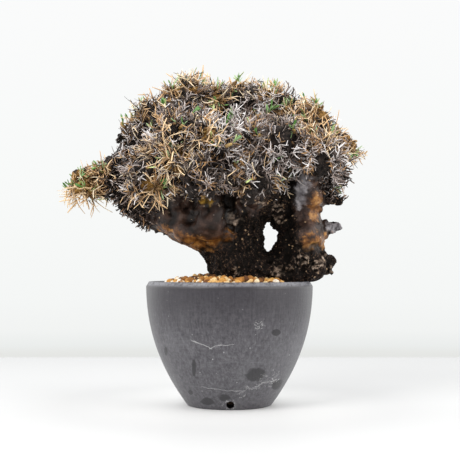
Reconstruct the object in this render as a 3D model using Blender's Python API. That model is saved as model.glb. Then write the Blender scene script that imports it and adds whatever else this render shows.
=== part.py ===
"""A potted othonna: an old, swollen, woody plant with thorn-like dried flower stalks, in a round-bottomed pot.

Metres, +Z up. The origin is the centre of the pot's foot, on the surface that it stands on. -Y is the front.
The plant's heights are measured from the pot's rim, so the plant follows the pot when the pot's size changes.
"""

import math
import random

import bmesh
import bpy
from mathutils import Matrix, Vector
from mathutils.geometry import intersect_point_line

# ---- Driving dimensions ----
POT_HEIGHT = 0.0882
POT_RIM_RADIUS = 0.060
POT_FOOT_RADIUS = 0.0302
POT_SWELL = 2.2  # exponent of the side's curve: 1 is a straight cone
POT_WALL = 0.0038
POT_FLOOR = 0.0034
FOOT_BEVEL = 0.0012
RIM_BAND = 0.0034  # height of the slanting band under the lip
RIM_SLANT = 0.0016  # how far that band leans in
LIP_ROUND = 0.0009
DRAIN_RADIUS = 0.0028
DRAIN_HEIGHT = 0.0039  # of the hole's centre above the surface

SOIL_EDGE_DROP = 0.0022  # how far the grit lies under the rim at the wall
SOIL_MOUND = 0.0068  # rise of the grit from the wall to the middle
GRIT_DEPTH = 0.0045
GRIT_BUMP = 0.0009
GAP = 0.0003  # between pieces that touch
FIT = 0.0006  # between the caudex and what it grows through

CORE_RADIUS = 0.0138  # the matted middle of a thicket
CORE_LIFT = 0.45  # of the core's radius, from the limb's seat to the core's middle
PAD_SHARE = 0.88  # of the core's radius, out to the flat pad that a shoot stands on
THORN_REACH = 0.0135  # from the core's surface to a thorn's tip
THORN_COUNT = 12  # thorns in one thicket
THORN_BASE_INSET = 0.12  # of the core's radius, from a facet's edge to the foot of its thorn
THORN_LEAN_LEAST = 0.05  # cosine of the widest angle between a thorn and its limb
THORN_LEAN_MOST = 0.80  # the same, for the narrowest angle under a shoot
SHORTEST_THORN = 0.2  # of the core's radius
SHOOT_RADIUS = 0.0034
SHOOT_LENGTH = 0.0070
SHOOT_TAPER = 0.7
LEAF_LENGTH = 0.0085
LEAF_BASE_INSET = 0.15  # of the shoot's radius
LEAVES = 4

POT_SEGMENTS = 44
POT_STEPS = 9
BARK_VOXEL = 0.0022
CAUDEX_SHARE = 0.10  # of the remeshed faces, kept by the decimation
SEED = 11

# ---- The woody skeleton: (x, y, height above the rim, radius) from the thick end outwards ----
TRUNKS = {
    "main_trunk": [
        (0.006, 0.002, -0.030, 0.009),
        (0.006, 0.002, -0.014, 0.017),
        (0.007, 0.002, 0.002, 0.0215),
        (0.005, 0.001, 0.016, 0.0212),
        (0.003, 0.000, 0.027, 0.0235),
        (-0.005, 0.000, 0.043, 0.0300),
        (-0.010, 0.002, 0.058, 0.0300),
        (-0.008, 0.004, 0.074, 0.0230),
    ],
    "left_shoulder": [
        (-0.006, -0.002, 0.038, 0.022),
        (-0.028, -0.006, 0.044, 0.0190),
        (-0.045, -0.008, 0.051, 0.0175),
        (-0.061, -0.008, 0.057, 0.0145),
        (-0.074, -0.008, 0.066, 0.0110),
    ],
    "right_trunk": [
        (0.040, -0.002, -0.014, 0.0080),
        (0.045, -0.003, 0.002, 0.0135),
        (0.051, -0.004, 0.016, 0.0175),
        (0.051, -0.004, 0.031, 0.0175),
        (0.051, -0.003, 0.047, 0.0140),
        (0.053, -0.002, 0.060, 0.0138),
        (0.057, -0.001, 0.074, 0.0150),
        (0.062, 0.000, 0.086, 0.0120),
    ],
    "saddle": [
        (0.010, 0.001, 0.006, 0.0170),
        (0.030, -0.002, 0.008, 0.0130),
        (0.046, -0.003, 0.010, 0.0140),
    ],
    "arch": [
        (0.002, 0.001, 0.062, 0.0240),
        (0.026, -0.001, 0.062, 0.0195),
        (0.052, -0.002, 0.067, 0.0150),
    ],
    "foot_lump": [
        (0.050, -0.004, 0.014, 0.0125),
        (0.066, -0.006, 0.0120, 0.0090),
        (0.074, -0.007, 0.0110, 0.0060),
    ],
    "stub_right": [
        (0.056, -0.004, 0.037, 0.0060),
        (0.069, -0.006, 0.037, 0.0046),
        (0.081, -0.007, 0.040, 0.0040),
    ],
    "stub_upper": [
        (0.058, -0.002, 0.060, 0.0070),
        (0.071, -0.005, 0.061, 0.0048),
        (0.082, -0.006, 0.057, 0.0034),
    ],
    "stub_shoulder": [
        (0.064, -0.003, 0.076, 0.0090),
        (0.077, -0.010, 0.075, 0.0065),
        (0.084, -0.012, 0.077, 0.0050),
    ],
    "stub_front": [
        (0.053, -0.012, 0.016, 0.0090),
        (0.057, -0.024, 0.020, 0.0050),
    ],
    "stub_back": [
        (0.004, 0.014, 0.018, 0.0110),
        (0.008, 0.030, 0.024, 0.0060),
    ],
}

# Each limb ends in a flat seat that its thicket of thorns sits on.
LIMBS = {
    "left_arm": [
        (-0.070, -0.008, 0.063, 0.0115),
        (-0.084, -0.009, 0.070, 0.0085),
        (-0.094, -0.010, 0.072, 0.0070),
    ],
    "left_arm_top": [
        (-0.058, -0.006, 0.060, 0.0120),
        (-0.065, -0.003, 0.079, 0.0085),
        (-0.069, -0.001, 0.089, 0.0065),
    ],
    "left": [
        (-0.030, 0.002, 0.058, 0.0170),
        (-0.048, 0.012, 0.076, 0.0120),
        (-0.056, 0.018, 0.086, 0.0080),
    ],
    "left_top": [
        (-0.020, -0.002, 0.068, 0.0180),
        (-0.039, -0.008, 0.096, 0.0115),
        (-0.046, -0.010, 0.108, 0.0080),
    ],
    "top_left": [
        (-0.010, 0.000, 0.070, 0.0200),
        (-0.020, -0.006, 0.104, 0.0120),
        (-0.024, -0.009, 0.121, 0.0085),
    ],
    "top": [
        (-0.002, 0.004, 0.072, 0.0180),
        (0.003, 0.004, 0.104, 0.0110),
        (0.005, 0.004, 0.119, 0.0080),
    ],
    "top_right": [
        (0.012, 0.002, 0.068, 0.0180),
        (0.026, -0.002, 0.100, 0.0120),
        (0.031, -0.003, 0.116, 0.0085),
    ],
    "right_top": [
        (0.038, 0.000, 0.072, 0.0160),
        (0.051, -0.005, 0.090, 0.0110),
        (0.057, -0.008, 0.100, 0.0080),
    ],
    "right": [
        (0.058, -0.001, 0.078, 0.0130),
        (0.067, 0.001, 0.087, 0.0100),
        (0.073, 0.002, 0.092, 0.0075),
    ],
    "front_left_low": [
        (-0.034, -0.010, 0.054, 0.0150),
        (-0.045, -0.026, 0.062, 0.0105),
        (-0.051, -0.036, 0.066, 0.0075),
    ],
    "front_left": [
        (-0.018, -0.008, 0.066, 0.0180),
        (-0.030, -0.028, 0.082, 0.0110),
        (-0.035, -0.038, 0.090, 0.0080),
    ],
    "front": [
        (-0.004, -0.010, 0.066, 0.0180),
        (-0.005, -0.032, 0.084, 0.0110),
        (-0.006, -0.043, 0.092, 0.0080),
    ],
    "front_low": [
        (-0.010, -0.012, 0.058, 0.0170),
        (-0.018, -0.034, 0.062, 0.0105),
        (-0.021, -0.047, 0.064, 0.0075),
    ],
    "front_right": [
        (0.020, -0.006, 0.068, 0.0160),
        (0.027, -0.028, 0.082, 0.0105),
        (0.030, -0.039, 0.088, 0.0075),
    ],
    "front_right_low": [
        (0.018, -0.006, 0.060, 0.0150),
        (0.018, -0.030, 0.061, 0.0095),
        (0.018, -0.043, 0.062, 0.0070),
    ],
    "front_far_right": [
        (0.050, -0.006, 0.070, 0.0130),
        (0.056, -0.024, 0.074, 0.0090),
        (0.059, -0.033, 0.078, 0.0070),
    ],
    "back_left": [
        (-0.034, 0.006, 0.058, 0.0150),
        (-0.055, 0.026, 0.068, 0.0100),
        (-0.063, 0.034, 0.072, 0.0075),
    ],
    "back_left_top": [
        (-0.016, 0.010, 0.070, 0.0180),
        (-0.029, 0.028, 0.092, 0.0110),
        (-0.034, 0.036, 0.102, 0.0080),
    ],
    "back_top": [
        (0.002, 0.012, 0.072, 0.0180),
        (0.001, 0.034, 0.093, 0.0110),
        (0.000, 0.043, 0.103, 0.0080),
    ],
    "back_right_top": [
        (0.022, 0.010, 0.070, 0.0160),
        (0.034, 0.026, 0.090, 0.0105),
        (0.039, 0.033, 0.099, 0.0075),
    ],
    "back_right": [
        (0.048, 0.008, 0.070, 0.0140),
        (0.059, 0.024, 0.074, 0.0095),
        (0.065, 0.033, 0.077, 0.0070),
    ],
    "back_left_low": [
        (-0.018, 0.012, 0.058, 0.0160),
        (-0.029, 0.040, 0.064, 0.0100),
        (-0.034, 0.053, 0.067, 0.0075),
    ],
    "back_low": [
        (0.002, 0.014, 0.062, 0.0160),
        (0.001, 0.046, 0.068, 0.0100),
        (0.001, 0.060, 0.071, 0.0075),
    ],
    "back_right_low": [
        (0.026, 0.010, 0.060, 0.0150),
        (0.034, 0.036, 0.066, 0.0095),
        (0.037, 0.049, 0.069, 0.0070),
    ],
}

# The limbs that still carry a live shoot.
LIVE = (
    "left_arm",
    "left_arm_top",
    "left_top",
    "top_left",
    "top",
    "top_right",
    "right_top",
    "right",
    "front_left_low",
    "front_left",
    "front",
    "front_far_right",
    "back_left",
    "back_top",
    "back_right",
    "back_low",
)

# ---- Materials: (red, green, blue), roughness ----
FINISHES = {
    "pot": ((0.085, 0.085, 0.095), 0.62),
    "potting_mix": ((0.090, 0.055, 0.030), 0.95),
    "grit": ((0.560, 0.300, 0.090), 0.85),
    "bark": ((0.055, 0.040, 0.038), 0.60),
    "thorns": ((0.230, 0.185, 0.165), 0.80),
    "shoot": ((0.230, 0.290, 0.110), 0.55),
}


def clear_scene():
    for obj in list(bpy.data.objects):
        bpy.data.objects.remove(obj)


def material(name):
    """The finish of that name, as a Principled BSDF, made once."""
    made = bpy.data.materials.get(name)
    if made:
        return made
    colour, roughness = FINISHES[name]
    made = bpy.data.materials.new(name)
    made.use_nodes = True
    shader = made.node_tree.nodes["Principled BSDF"]
    shader.inputs["Base Color"].default_value = (*colour, 1.0)
    shader.inputs["Roughness"].default_value = roughness
    shader.inputs["Metallic"].default_value = 0.0
    return made


def object_of(name, shape, finish=None):
    """An object made from a bmesh, which is freed."""
    mesh = bpy.data.meshes.new(name)
    shape.to_mesh(mesh)
    shape.free()
    obj = bpy.data.objects.new(name, mesh)
    bpy.context.collection.objects.link(obj)
    if finish:
        mesh.materials.append(material(finish))
    return obj


def as_helper(obj):
    """Marks a cutter, which isn't part of the model."""
    obj.hide_render = True
    obj.display_type = "WIRE"
    return obj


def turned(name, profile, segments, finish=None):
    """A solid of revolution about Z. The profile runs from the axis at the bottom, up the outside, to the axis."""
    shape = bmesh.new()
    points = [shape.verts.new((radius, 0.0, height)) for radius, height in profile]
    edges = [shape.edges.new(pair) for pair in zip(points, points[1:])]
    bmesh.ops.spin(
        shape,
        geom=points + edges,
        axis=(0, 0, 1),
        cent=(0, 0, 0),
        angle=math.tau,
        steps=segments,
        use_merge=True,
    )
    bmesh.ops.remove_doubles(shape, verts=shape.verts, dist=1e-6)
    bmesh.ops.recalc_face_normals(shape, faces=shape.faces)
    obj = object_of(name, shape, finish)
    obj.data.shade_smooth()
    obj.data.set_sharp_from_angle(angle=math.radians(30))
    return obj


def cut(obj, cutter, name):
    modifier = obj.modifiers.new(name, "BOOLEAN")
    modifier.operation = "DIFFERENCE"
    modifier.object = cutter
    modifier.solver = "EXACT"


# ---- Pot ----
def side_radius(height):
    """The pot's outer radius at a height."""
    share = min(1.0, max(0.0, height / POT_HEIGHT))
    return POT_FOOT_RADIUS + (POT_RIM_RADIUS - POT_FOOT_RADIUS) * (1 - (1 - share) ** POT_SWELL)


def wall_radius(height, inset):
    """The radius at a height, on a surface that lies an inset inside the pot's outer side."""
    step = 0.0005
    slope = (side_radius(height + step) - side_radius(height - step)) / (2 * step)
    return side_radius(height) - inset * math.hypot(1.0, slope)


def heights(low, high, count):
    return [low + (high - low) * i / count for i in range(count + 1)]


def inner_profile(inset, low, high):
    """(radius, height) points up a surface inside the pot's side, closed to the axis at its bottom."""
    side = [(wall_radius(h, inset), h) for h in heights(low, high, POT_STEPS)]
    return [(0.0, low)] + side


def make_pot():
    band_foot = POT_HEIGHT - RIM_BAND
    outside = [(0.0, 0.0), (POT_FOOT_RADIUS - FOOT_BEVEL, 0.0)]
    outside += [(side_radius(h), h) for h in heights(FOOT_BEVEL, band_foot, POT_STEPS)]
    band_radius = side_radius(band_foot)
    outside += [
        (band_radius - RIM_SLANT, POT_HEIGHT - LIP_ROUND),
        (band_radius - RIM_SLANT - LIP_ROUND, POT_HEIGHT),
    ]
    inside = inner_profile(POT_WALL, POT_FLOOR, POT_HEIGHT - LIP_ROUND)
    mouth = inside[-1][0]
    inside.append((mouth + LIP_ROUND / 2, POT_HEIGHT))
    pot = turned("pot", outside + inside[::-1], POT_SEGMENTS, "pot")

    drill = bmesh.new()
    bmesh.ops.create_cone(
        drill,
        cap_ends=True,
        segments=16,
        radius1=DRAIN_RADIUS,
        radius2=DRAIN_RADIUS,
        depth=POT_FOOT_RADIUS,
        matrix=Matrix.Translation((0, -POT_FOOT_RADIUS, DRAIN_HEIGHT))
        @ Matrix.Rotation(math.pi / 2, 4, "X"),
    )
    cut(pot, as_helper(object_of("drain_drill", drill)), "drain_hole")
    return pot


# ---- Caudex ----
def in_place(knot):
    """A skeleton point's position, from its height above the rim."""
    return Vector((knot[0], knot[1], POT_HEIGHT + knot[2]))


def limb_mesh(points):
    """A closed tube through the points, with a radius at each one."""
    curve = bpy.data.curves.new("limb", "CURVE")
    curve.dimensions = "3D"
    curve.bevel_depth = 1.0
    curve.bevel_resolution = 4
    curve.use_fill_caps = True
    curve.resolution_u = 4
    spline = curve.splines.new("NURBS")
    spline.points.add(len(points) - 1)
    spline.order_u = 3
    spline.use_endpoint_u = True
    for knot, point in zip(spline.points, points):
        knot.co = (*in_place(point), 1.0)
        knot.radius = point[3]
    holder = bpy.data.objects.new("limb", curve)
    bpy.context.collection.objects.link(holder)
    bpy.context.view_layer.update()
    graph = bpy.context.evaluated_depsgraph_get()
    mesh = bpy.data.meshes.new_from_object(holder.evaluated_get(graph))
    bpy.data.objects.remove(holder)
    return mesh


def rim_cutter():
    """A ring that keeps the caudex off the pot: it covers the wall and the lip, and all that is outside them."""
    shape = bmesh.new()
    low = -POT_HEIGHT
    top = POT_HEIGHT + FIT
    inner = wall_radius(POT_HEIGHT, POT_WALL) - FIT
    outer = POT_RIM_RADIUS * 2
    ring = [(inner, low), (outer, low), (outer, top), (inner, top)]
    corners = [shape.verts.new((radius, 0.0, height)) for radius, height in ring]
    edges = [shape.edges.new((corners[i], corners[(i + 1) % 4])) for i in range(4)]
    bmesh.ops.spin(
        shape, geom=corners + edges, axis=(0, 0, 1), cent=(0, 0, 0), angle=math.tau, steps=48, use_merge=True
    )
    bmesh.ops.remove_doubles(shape, verts=shape.verts, dist=1e-6)
    bmesh.ops.recalc_face_normals(shape, faces=shape.faces)
    return as_helper(object_of("rim_cutter", shape))


def make_caudex():
    """The trunks, limbs and stubs as one grown piece."""
    shape = bmesh.new()
    for points in [*TRUNKS.values(), *LIMBS.values()]:
        mesh = limb_mesh(points)
        shape.from_mesh(mesh)
        bpy.data.meshes.remove(mesh)
    bmesh.ops.remove_doubles(shape, verts=shape.verts, dist=1e-6)
    caudex = object_of("caudex", shape, "bark")
    remesh = caudex.modifiers.new("grow_together", "REMESH")
    remesh.mode = "VOXEL"
    remesh.voxel_size = BARK_VOXEL
    soften = caudex.modifiers.new("soften", "SMOOTH")
    soften.factor = 0.5
    soften.iterations = 2
    thin_out = caudex.modifiers.new("thin_out", "DECIMATE")
    thin_out.ratio = CAUDEX_SHARE
    cut(caudex, rim_cutter(), "clear_of_rim")
    graph = bpy.context.evaluated_depsgraph_get()
    grown = bpy.data.meshes.new_from_object(caudex.evaluated_get(graph))
    caudex.modifiers.clear()
    caudex.data = grown
    grown.name = "caudex"
    grown.shade_smooth()
    grown.set_sharp_from_angle(angle=math.radians(60))
    return caudex


def caudex_cutter(caudex):
    """The caudex, fattened by the fit, to cut its way through what it grows in."""
    cutter = bpy.data.objects.new("caudex_cutter", caudex.data.copy())
    bpy.context.collection.objects.link(cutter)
    fatten = cutter.modifiers.new("fit", "DISPLACE")
    fatten.mid_level = 0.0
    fatten.strength = FIT
    return as_helper(cutter)


# ---- Soil ----
def mound(radius, wall):
    """Height of the grit's surface at a radius, with the wall at that height."""
    share = min(1.0, radius / wall)
    return POT_HEIGHT - SOIL_EDGE_DROP + SOIL_MOUND * (1 - share * share)


def mound_profile(depth, inset, rings):
    """(radius, height) points from the wall to the axis, a depth under the grit's surface."""
    edge_height = POT_HEIGHT - SOIL_EDGE_DROP - depth
    edge = wall_radius(edge_height, inset)
    radii = [edge * (1 - i / rings) for i in range(rings + 1)]
    return [(radius, mound(radius, edge) - depth) for radius in radii]


def make_potting_mix(cutter):
    inset = POT_WALL + GAP
    top = mound_profile(GRIT_DEPTH + GAP, inset, 4)
    side = inner_profile(inset, POT_FLOOR + GAP, top[0][1])
    mix = turned("potting_mix", side[:-1] + top, POT_SEGMENTS, "potting_mix")
    cut(mix, cutter, "root_room")
    return mix


def make_top_dressing(cutter):
    """The layer of loose grit, with a bumpy upper face."""
    rings = 8
    inset = POT_WALL + GAP
    under = mound_profile(GRIT_DEPTH, inset, rings)
    over = mound_profile(GRIT_BUMP, inset, rings)
    dressing = turned("top_dressing", under[::-1] + over, POT_SEGMENTS, "grit")
    shaken = random.Random(SEED)
    edge = over[0][0]
    for vertex in dressing.data.vertices:
        radius = math.hypot(vertex.co.x, vertex.co.y)
        surface = mound(radius, edge) - GRIT_BUMP
        if radius < edge * 0.99 and vertex.co.z > surface - GRIT_BUMP:
            vertex.co.z += shaken.uniform(-GRIT_BUMP, GRIT_BUMP)
    cut(dressing, cutter, "stem_room")
    return dressing


# ---- Thickets of thorns, and shoots ----
def seat_of(points):
    """(middle of the limb's end, direction it points in)."""
    tip = in_place(points[-1])
    return tip, (tip - in_place(points[-2])).normalized()


def heads():
    """{limb: (seat, axis, core's middle)} for every limb."""
    found = {}
    for name, points in LIMBS.items():
        seat, axis = seat_of(points)
        found[name] = (seat, axis, seat + axis * CORE_RADIUS * CORE_LIFT)
    return found


def share_planes(name, found):
    """(point, direction) of the planes half-way to every other head, which no thorn crosses."""
    middle = found[name][2]
    planes = []
    for other, (_, _, far) in found.items():
        if other != name:
            away = (far - middle).normalized()
            planes.append(((far + middle) / 2 - away * GAP, away))
    return planes


def reach_within(start, direction, wanted, planes):
    """How far a straight thorn can go from its start before it meets a plane."""
    reach = wanted
    for point, away in planes:
        closing = direction.dot(away)
        if closing > 1e-6:
            reach = min(reach, (point - start).dot(away) / closing)
    return max(reach, 0.0)


def limb_planes(name, middle):
    """(point, direction) of the planes that keep a core off the wood beside it."""
    planes = []
    beside = [points for other, points in {**TRUNKS, **LIMBS}.items() if other != name]
    for points in beside:
        for start, end in zip(points, points[1:]):
            share = intersect_point_line(middle, in_place(start), in_place(end))[1]
            share = min(1.0, max(0.0, share))
            near = in_place(start).lerp(in_place(end), share)
            radius = start[3] + (end[3] - start[3]) * share + FIT * 2
            if (middle - near).length < radius + CORE_RADIUS:
                away = (near - middle).normalized()
                planes.append((near - away * radius, away))
    return planes


def core_shape(seat, axis, middle, planes, pad):
    """A faceted dome on the limb's seat, inside all of the planes, with a flat pad on top."""
    shape = bmesh.new()
    bmesh.ops.create_icosphere(shape, subdivisions=2, radius=CORE_RADIUS, matrix=Matrix.Translation(middle))
    ends = [(seat + axis * (GAP * 2), -axis)]
    if pad:
        ends.append((middle + axis * CORE_RADIUS * PAD_SHARE, axis))
    for point, away in planes + ends:
        whole = shape.verts[:] + shape.edges[:] + shape.faces[:]
        sliced = bmesh.ops.bisect_plane(
            shape, geom=whole, dist=1e-6, plane_co=point, plane_no=away, clear_outer=True
        )
        rim = [e for e in sliced["geom_cut"] if isinstance(e, bmesh.types.BMEdge)]
        if rim:
            bmesh.ops.contextual_create(shape, geom=rim)
    bmesh.ops.recalc_face_normals(shape, faces=shape.faces)
    return shape


def draw_out(shape, face, direction, length, narrow):
    """Pulls a thin spike out of the middle of a face."""
    bmesh.ops.inset_individual(shape, faces=[face], thickness=narrow, use_even_offset=True)
    middle = face.calc_center_median()
    tip = bmesh.ops.poke(shape, faces=[face])["verts"][0]
    tip.co = middle + direction * length


def make_thicket(name, found, shaken):
    """The dried flower stalks on one limb's end: a matted core that bristles with thorns."""
    seat, axis, middle = found[name]
    planes = share_planes(name, found) + limb_planes(name, middle)
    shape = core_shape(seat, axis, middle, planes, name in LIVE)
    crown_side = []
    for face in shape.faces:
        outwards = (face.calc_center_median() - middle).normalized()
        lean = outwards.dot(axis)
        clear_of_shoot = lean < THORN_LEAN_MOST or name not in LIVE
        is_whole = len(face.verts) == 3 and face.calc_area() > 0.12 * CORE_RADIUS**2
        if is_whole and lean > THORN_LEAN_LEAST and clear_of_shoot:
            crown_side.append((face, outwards))
    shaken.shuffle(crown_side)
    for face, outwards in crown_side[:THORN_COUNT]:
        wanted = THORN_REACH * shaken.uniform(0.75, 1.0)
        start = face.calc_center_median()
        length = reach_within(start, outwards, wanted, planes)
        if length > CORE_RADIUS * SHORTEST_THORN:
            draw_out(shape, face, outwards, length, CORE_RADIUS * THORN_BASE_INSET)
    return object_of("thorns_" + name, shape, "thorns")


def make_shoot(name, found, shaken):
    """A live shoot on top of its thicket: a short fleshy tip with a few leaves."""
    _, axis, middle = found[name]
    planes = share_planes(name, found)
    base = middle + axis * (CORE_RADIUS * PAD_SHARE + GAP)
    turn = axis.to_track_quat("Z", "Y").to_matrix().to_4x4()
    place = Matrix.Translation(base + axis * SHOOT_LENGTH / 2) @ turn
    shape = bmesh.new()
    bmesh.ops.create_cone(
        shape,
        cap_ends=True,
        segments=8,
        radius1=SHOOT_RADIUS,
        radius2=SHOOT_RADIUS * SHOOT_TAPER,
        depth=SHOOT_LENGTH,
        matrix=place,
    )
    bmesh.ops.recalc_face_normals(shape, faces=shape.faces)
    sides = [face for face in shape.faces if len(face.verts) == 4]
    for face in sides[:: len(sides) // LEAVES]:
        outwards = (face.normal + axis * shaken.uniform(0.9, 1.6)).normalized()
        start = face.calc_center_median()
        length = reach_within(start, outwards, LEAF_LENGTH, planes)
        if length > SHOOT_RADIUS:
            draw_out(shape, face, outwards, length, SHOOT_RADIUS * LEAF_BASE_INSET)
    return object_of("shoot_" + name, shape, "shoot")


def main():
    clear_scene()
    make_pot()
    caudex = make_caudex()
    cutter = caudex_cutter(caudex)
    make_potting_mix(cutter)
    make_top_dressing(cutter)
    found = heads()
    shaken = random.Random(SEED)
    for name in LIMBS:
        make_thicket(name, found, shaken)
    for name in LIVE:
        make_shoot(name, found, shaken)


main()
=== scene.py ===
"""The potted othonna as it looks: a worn dark pot, ochre grit, satin bark, dried stalks and leafy tips."""

import math
import random

import bmesh
import bpy
import numpy as np
from mathutils import Euler, Matrix, Vector, noise
from mathutils.bvhtree import BVHTree


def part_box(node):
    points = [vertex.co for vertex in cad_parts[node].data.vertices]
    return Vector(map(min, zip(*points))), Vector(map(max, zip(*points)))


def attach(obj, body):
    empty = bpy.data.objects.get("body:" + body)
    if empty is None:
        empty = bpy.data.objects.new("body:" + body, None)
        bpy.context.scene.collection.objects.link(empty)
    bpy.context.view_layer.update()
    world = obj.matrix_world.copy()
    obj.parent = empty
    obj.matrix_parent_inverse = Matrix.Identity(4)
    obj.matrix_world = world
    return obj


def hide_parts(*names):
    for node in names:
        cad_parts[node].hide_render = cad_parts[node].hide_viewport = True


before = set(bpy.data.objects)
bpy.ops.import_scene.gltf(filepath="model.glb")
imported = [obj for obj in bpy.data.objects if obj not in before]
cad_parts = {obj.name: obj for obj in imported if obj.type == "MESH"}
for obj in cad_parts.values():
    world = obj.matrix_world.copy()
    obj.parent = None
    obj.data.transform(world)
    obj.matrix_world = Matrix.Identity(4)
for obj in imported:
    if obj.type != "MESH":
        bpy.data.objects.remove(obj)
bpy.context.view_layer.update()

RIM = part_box("pot")[1].z
RIM_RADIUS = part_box("pot")[1].x
THICKETS = sorted(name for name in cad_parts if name.startswith("thorns_"))
SHOOTS = sorted(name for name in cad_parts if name.startswith("shoot_"))
SEED = 5
BARK_GRAIN = 0.0010
WOOD_GRAIN = 0.0015


def metres(*rows, lengths=99):
    """Rows of millimetres turned into metres. In each, only the first so many numbers are lengths."""
    return [tuple(round(v / 1000, 7) if at < lengths else v for at, v in enumerate(row)) for row in rows]


# ---- Meshes ----
def mesh_of(shape, name):
    """A mesh from a bmesh, which is freed."""
    mesh = bpy.data.meshes.new(name)
    shape.to_mesh(mesh)
    shape.free()
    return mesh


def linked(name, data):
    """A new object in the scene."""
    made = bpy.data.objects.new(name, data)
    bpy.context.scene.collection.objects.link(made)
    return made


def finished(name, shape, finish, slot, *stands_for, smooth=True):
    """A piece from a bmesh or a mesh, with its finish and the nodes that it stands for."""
    mesh = mesh_of(shape, name) if isinstance(shape, bmesh.types.BMesh) else shape
    mesh.name = name
    mesh.materials.clear()
    mesh.materials.append(finish)
    if smooth:
        mesh.shade_smooth()
    piece = linked(name, mesh)
    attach(piece, "root")
    if stands_for:
        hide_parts(*stands_for)
    return piece


def node_shape(name):
    """A copy of a node's mesh with its loose triangles joined up."""
    shape = bmesh.new()
    shape.from_mesh(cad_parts[name].data)
    bmesh.ops.remove_doubles(shape, verts=shape.verts, dist=1e-6)
    return shape


def run_modifiers(shape, *steps):
    """The mesh that a list of (modifier type, {setting: value}) makes of a bmesh, which is freed."""
    mesh = mesh_of(shape, "raw")
    holder = linked("raw", mesh)
    for kind, settings in steps:
        modifier = holder.modifiers.new(kind, kind)
        for setting, value in settings.items():
            setattr(modifier, setting, value)
    graph = bpy.context.evaluated_depsgraph_get()
    made = bpy.data.meshes.new_from_object(holder.evaluated_get(graph))
    bpy.data.objects.remove(holder)
    bpy.data.meshes.remove(mesh)
    return made


def read(items, field, width):
    found = np.empty(len(items) * width, np.float32)
    items.foreach_get(field, found)
    return found.reshape(-1, width) if width > 1 else found


def add_ball(shape, middle, radius, detail=2):
    place = Matrix.Translation(middle)
    bmesh.ops.create_icosphere(shape, subdivisions=detail, radius=radius, matrix=place)


def surface_of(mesh):
    """The mesh's points and normals, as arrays."""
    return (read(mesh.vertices, field, 3).astype(float) for field in ("co", "normal"))


def swell_out(mesh, points, normals, lift):
    """Moves each point along its normal by its lift."""
    moved = points + normals * lift[:, None]
    mesh.vertices.foreach_set("co", moved.astype(np.float32).ravel())
    mesh.update()


def stray(luck, size):
    """A random short step in any direction."""
    return Vector([luck.gauss(0, size) for _ in range(3)])


def near(points, spot, radius):
    """1 at a spot, fading smoothly to 0 at a radius, for each point."""
    share = 1 - np.linalg.norm(points - np.array(spot), axis=1) / radius
    share = np.clip(share, 0, 1)
    return share * share * (3 - 2 * share)


def near_line(points, start, end, radius):
    """1 on a line across the front between two (x, height above the rim), fading to 0 at a radius."""
    first, last = (np.array([x, 0, RIM + height]) for x, height in (start, end))
    whole = last - first
    flat = points.copy()
    flat[:, 1] = np.maximum(0, points[:, 1] + 0.008) * 0.6  # no nearer and no farther anywhere on the front
    along = np.clip(((flat - first) @ whole) / max(1e-12, whole @ whole), 0, 1)
    gap = np.linalg.norm(flat - first - along[:, None] * whole, axis=1)
    return np.clip(1 - gap / radius, 0, 1)


def noisy(points, size, offset=0.0, octaves=3):
    """Smooth noise from about -1 to 1 at each point, with lumps of about that size."""
    shift = Vector((offset, offset * 0.7, -offset))
    spots = (Vector(point) / size + shift for point in points.tolist())
    return np.array([noise.fractal(spot, 1.0, 2.0, octaves) for spot in spots])


def above_rim(x, y, height):
    return Vector((x, y, RIM + height))


# ---- Finishes ----
def add(tree, kind, inputs=None, **settings):
    """A shader node. An input takes a value or another node's output socket."""
    made = tree.nodes.new("ShaderNode" + kind)
    for name, value in settings.items():
        setattr(made, name, value)
    for name, value in (inputs or {}).items():
        if isinstance(value, bpy.types.NodeSocket):
            tree.links.new(value, made.inputs[name])
        else:
            made.inputs[name].default_value = value
    return made


def mix(tree, factor, first, second):
    """Blends two colours."""
    made = add(tree, "Mix", {0: factor, 6: first, 7: second}, data_type="RGBA")
    return made.outputs[2]


def math_node(tree, operation, first, second=0.0):
    return add(tree, "Math", {0: first, 1: second}, operation=operation).outputs[0]


def times(tree, first, second):
    return math_node(tree, "MULTIPLY", first, second)


def plus(tree, first, second):
    return math_node(tree, "ADD", first, second)


def minus(tree, first, second):
    return math_node(tree, "SUBTRACT", first, second)


def highest(tree, *masks):
    """The highest of several masks at each place."""
    top = masks[0]
    for mask in masks[1:]:
        top = math_node(tree, "MAXIMUM", top, mask)
    return top


def tint(tree, base, *layers):
    """Lays tones over a colour in turn, each by its mask and up to its amount."""
    for mask, amount, tone in layers:
        base = mix(tree, times(tree, mask, amount), base, colour(tone))
    return base


def centred(tree, value, strength):
    """A noise about 0, up to half a strength each way."""
    return times(tree, minus(tree, value, 0.5), strength)


def fade(tree, value, low, high):
    """0 at low and 1 at high, with a smooth change between; low may be the larger."""
    inputs = {"Value": value, "From Min": low, "From Max": high}
    return add(tree, "MapRange", inputs, interpolation_type="SMOOTHSTEP").outputs[0]


def ramp(tree, factor, *stops):
    """A colour ramp: each stop is a place and a colour."""
    made = add(tree, "ValToRGB", {0: factor})
    elements = made.color_ramp.elements
    elements.remove(elements[1])
    elements[0].position = stops[0][0]
    for place, _ in stops[1:]:
        elements.new(place)
    for element, (_, tone) in zip(elements, stops):
        element.color = colour(tone)
    return made.outputs[0]


def object_coordinates(tree, scale=(1, 1, 1)):
    place = add(tree, "TexCoord").outputs["Object"]
    return add(tree, "Mapping", {"Vector": place, "Scale": scale}).outputs[0]


def noise_on(tree, coordinates, scale, detail=4.0, roughness=0.5):
    inputs = {"Vector": coordinates, "Scale": scale, "Detail": detail, "Roughness": roughness}
    return add(tree, "TexNoise", inputs).outputs[0]


def attribute(tree, name):
    return add(tree, "Attribute", attribute_name=name).outputs["Fac"]


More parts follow.
